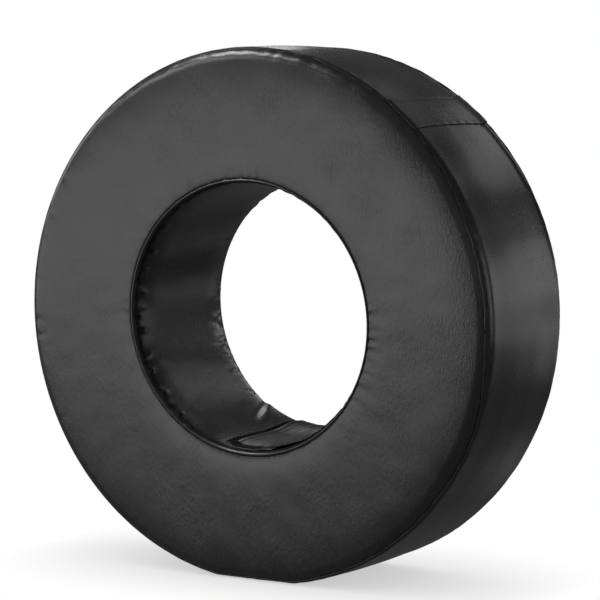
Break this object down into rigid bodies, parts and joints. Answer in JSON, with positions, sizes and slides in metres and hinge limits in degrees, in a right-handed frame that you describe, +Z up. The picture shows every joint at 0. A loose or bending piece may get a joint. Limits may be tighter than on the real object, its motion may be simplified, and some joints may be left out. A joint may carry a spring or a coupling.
{
  "type": "tackling wheel",
  "caption": "Foam ring in a sewn vinyl cover that stands or rolls on its tread, with welted seams and a hinged hook-and-loop flap closing the cover inside its bore.",
  "frame": {"origin": "the middle of the flattened base, on the floor, midway between the two faces", "axes": "+Z up, Y along the ring's axle line with the front face looking to -Y, +X to the right as the front face is seen"},
  "size_m": [1.221, 0.3764, 1.2039],
  "materials": {
    "foam": "open-cell foam, cut faces",
    "face_vinyl": "black coated fabric, satin, fine grain",
    "tread_vinyl": "black coated fabric, satin, stretched smooth",
    "lining_vinyl": "black coated fabric, satin, gathered at its edges",
    "welt_vinyl": "black vinyl bead, satin",
    "patch_vinyl": "black coated fabric, satin",
    "flap_vinyl": "black coated fabric, satin, doubled at its edges",
    "loop_tape": "black loop pile, matt",
    "hook_tape": "black moulded hooks on woven tape, matt"
  },
  "bodies": {
    "wheel": {"core_slab_front": "foam", "core_slab_middle": "foam", "core_slab_rear": "foam", "front_face_panel": "face_vinyl", "rear_face_panel": "face_vinyl", "tread_band": "tread_vinyl", "bore_lining": "lining_vinyl", "front_outer_welt": "welt_vinyl", "rear_outer_welt": "welt_vinyl", "front_bore_welt": "welt_vinyl", "rear_bore_welt": "welt_vinyl", "tread_splice_patch": "patch_vinyl", "lining_loop_tape": "loop_tape", "flap_root_hem": "flap_vinyl"},
    "flap": {"closure_flap": "flap_vinyl", "flap_hook_tape": "hook_tape"}
  },
  "joints": [
    {"name": "flap_hinge", "type": "hinge", "parent": "wheel", "child": "flap", "pos_m": [0.2134, 0, 0.39056], "axis": [0, 1, 0], "range_deg": [0, 110]}
  ]
}
